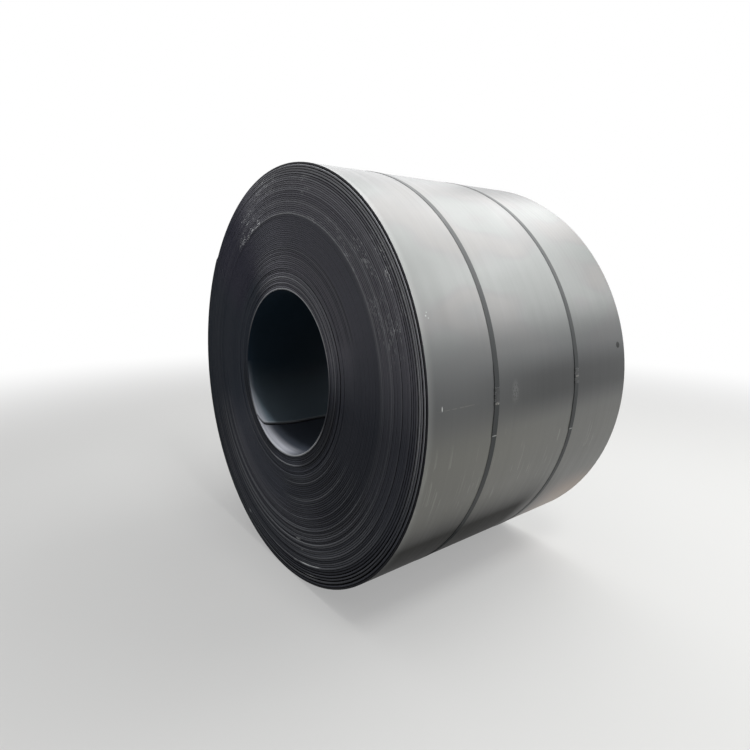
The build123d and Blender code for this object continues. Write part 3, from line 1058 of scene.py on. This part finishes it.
# Camera: the place and turn from which the coil was seen, and how the frame sits about the lens
CAMERA_PLACE = (2.0548, -1.7323, 0.4373)
CAMERA_AZIMUTH = 54.0586
CAMERA_ELEVATION = 4.7701
CAMERA_LENS = 25.016
CAMERA_SHIFT = (0.0351, -0.0762)


def towards(azimuth, elevation):
    """The direction at an azimuth from +Y towards +X and an elevation above the horizon."""
    a = math.radians(azimuth)
    e = math.radians(elevation)
    return Vector((math.sin(a) * math.cos(e), math.cos(a) * math.cos(e), math.sin(e)))


# Panels: azimuth, elevation, distance, width, height in metres, and the light they give off
PANELS = {
    "main_panel": (14.0, 53.0, 5.0, 4.6, 3.4, 4.2),
    "right_panel": (45.0, 28.0, 5.0, 3.0, 2.2, 4.3),
    "left_panel": (-52.0, 45.0, 5.0, 3.0, 2.2, 1.8),
    "top_panel": (0.0, 90.0, 5.0, 5.0, 5.0, 1.2),
    "key_lamp": (100.0, 50.0, 5.0, 1.0, 1.0, 32.0),
    "front_panel": (200.0, 40.0, 6.0, 4.0, 3.0, 0.6),
}


# The small lamp on the lip: its cone in degrees, the place on the lip that it is aimed at, the way
# back from there to the lamp, and its distance in metres
LIP_LAMP = {
    "cone": 16, "blend": 0.6, "radius": 0.16, "energy": 490, "at_angle": -115, "at_y": -0.56,
    "back": (-0.3, -0.155, 0.94), "distance": 4,
}

# Half the floor's width, and the distances between which it fades into white, in metres
FLOOR_REACH = 60.0
FLOOR_FADE = (2.6, 7.0)
FLOOR_WHITE_SHARE = 0.35


class COIL_OT_stage(bpy.types.Operator):
    """Sets up the floor, the soft lamps, the world and the camera"""

    bl_idname = "coil.set_stage"
    bl_label = "Set the stage"

    def execute(self, context):
        coil = context.scene.coil_sizes
        centre = Vector((0.0, 0.0, coil.axis_height))
        self.lay_floor(context)
        self.set_world(context)
        for name, (azimuth, elevation, distance, width, height, light) in PANELS.items():
            lamp = bpy.data.lights.new(name, "AREA")
            lamp.shape = "RECTANGLE"
            lamp.size = width
            lamp.size_y = height
            lamp.energy = light * math.pi * width * height
            panel = placed(context, name, lamp)
            panel.location = centre + towards(azimuth, elevation) * distance
            panel.rotation_euler = towards(azimuth, elevation).to_track_quat("Z", "Y").to_euler()
            panel.visible_camera = False
        self.light_lip(context, coil)
        camera = placed(context, "camera", bpy.data.cameras.new("camera"))
        camera.location = centre + Vector(CAMERA_PLACE)
        camera.rotation_euler = (math.radians(90 - CAMERA_ELEVATION), 0.0, math.radians(CAMERA_AZIMUTH))
        camera.data.sensor_width = 36.0
        camera.data.lens = CAMERA_LENS
        camera.data.shift_x, camera.data.shift_y = CAMERA_SHIFT
        camera.data.clip_end = 200.0
        context.scene.camera = camera
        context.scene.view_settings.view_transform = "Standard"
        return {"FINISHED"}

    def light_lip(self, context, coil):
        """A small lamp high up in front, which lights the lower lip of the bore and nothing else."""
        lamp = bpy.data.lights.new("lip_lamp", "SPOT")
        lamp.spot_size = math.radians(LIP_LAMP["cone"])
        lamp.spot_blend = LIP_LAMP["blend"]
        lamp.shadow_soft_size = LIP_LAMP["radius"]
        lamp.energy = LIP_LAMP["energy"]
        target = Vector(on_coil(coil, coil.bore_radius, math.radians(LIP_LAMP["at_angle"]), LIP_LAMP["at_y"]))
        back = Vector(LIP_LAMP["back"])
        spot = placed(context, "lip_lamp", lamp)
        spot.location = target + back * LIP_LAMP["distance"]
        spot.rotation_euler = back.to_track_quat("Z", "Y").to_euler()
        lit = bpy.data.collections.new("lit by the lip lamp")
        lit.objects.link(bpy.data.objects["coil_strip"])
        spot.light_linking.receiver_collection = lit

    def lay_floor(self, context):
        """A wide floor that keeps the coil's shadow and turns white further off."""
        corners = [(x * FLOOR_REACH, y * FLOOR_REACH, 0) for x, y in ((-1, -1), (1, -1), (1, 1), (-1, 1))]
        mesh = bpy.data.meshes.new("floor")
        mesh.from_pydata(corners, [], [(0, 1, 2, 3)])
        material, tree, shader = new_material("pale floor")
        grey = linear_colour(context.scene.steel_colours.floor)
        set_inputs(tree, shader, {"Base Color": grey, "Roughness": 0.9, "Specular IOR Level": 0.0})
        place = add_node(tree, "ShaderNodeTexCoord").outputs["Object"]
        distance = add_node(tree, "ShaderNodeVectorMath", {0: place}, operation="LENGTH").outputs["Value"]
        pale = add_node(tree, "ShaderNodeMapRange", {
            "Value": distance, "From Min": FLOOR_FADE[0], "From Max": FLOOR_FADE[1],
            "To Min": FLOOR_WHITE_SHARE},
            interpolation_type="SMOOTHSTEP").outputs[0]
        white = add_node(tree, "ShaderNodeEmission", {"Color": (1, 1, 1, 1), "Strength": 1.0})
        seen = product(tree, pale, seen_directly(tree))
        mix = add_node(tree, "ShaderNodeMixShader", {0: seen, 1: shader.outputs[0], 2: white.outputs[0]})
        output = next(node for node in tree.nodes if node.type == "OUTPUT_MATERIAL")
        tree.links.new(mix.outputs[0], output.inputs["Surface"])
        mesh.materials.append(material)
        floor = placed(context, "floor", mesh)

    def set_world(self, context):
        """An even fill that looks white to the camera, in reflections and through glass."""
        world = bpy.data.worlds.new("studio")
        world.use_nodes = True
        tree = world.node_tree
        tree.nodes.clear()
        fill = add_node(tree, "ShaderNodeBackground", {"Color": (1, 1, 1, 1), "Strength": 0.2})
        white = add_node(tree, "ShaderNodeBackground", {"Color": (1, 1, 1, 1), "Strength": 1.0})
        mix = add_node(tree, "ShaderNodeMixShader", {
            0: seen_directly(tree), 1: fill.outputs[0], 2: white.outputs[0]})
        add_node(tree, "ShaderNodeOutputWorld", {"Surface": mix.outputs[0]})
        context.scene.world = world


def seen_directly(tree):
    """1 for camera, glossy and transmission rays."""
    rays = add_node(tree, "ShaderNodeLightPath").outputs
    return total(tree, rays["Is Camera Ray"], rays["Is Glossy Ray"], rays["Is Transmission Ray"], clamp=True)


class COIL_PT_panel(bpy.types.Panel):
    """The coil's operators and sizes in the 3D view's sidebar"""

    bl_label = "Steel coil"
    bl_idname = "COIL_PT_panel"
    bl_space_type = "VIEW_3D"
    bl_region_type = "UI"
    bl_category = "Steel coil"

    def draw(self, context):
        for operator in OPERATORS:
            self.layout.operator(operator.bl_idname)
        for group in (context.scene.coil_sizes, context.scene.strap_sizes, context.scene.steel_colours):
            box = self.layout.box()
            for name in group.bl_rna.properties.keys():
                if name not in ("rna_type", "name"):
                    box.prop(group, name)


OPERATORS = (COIL_OT_strip, COIL_OT_straps, COIL_OT_seals, COIL_OT_stage)
CLASSES = (CoilSizes, StrapSizes, SteelColours, *OPERATORS, COIL_PT_panel)


def register():
    for cls in CLASSES:
        bpy.utils.register_class(cls)
    bpy.types.Scene.coil_sizes = bpy.props.PointerProperty(type=CoilSizes)
    bpy.types.Scene.strap_sizes = bpy.props.PointerProperty(type=StrapSizes)
    bpy.types.Scene.steel_colours = bpy.props.PointerProperty(type=SteelColours)


def unregister():
    del bpy.types.Scene.steel_colours
    del bpy.types.Scene.strap_sizes
    del bpy.types.Scene.coil_sizes
    for cls in reversed(CLASSES):
        bpy.utils.unregister_class(cls)


def main():
    """Builds every piece and the stage."""
    register()
    bpy.ops.coil.wind_strip()
    bpy.ops.coil.lay_straps()
    bpy.ops.coil.close_seals()
    bpy.ops.coil.set_stage()


if __name__ == "__main__":
    main()
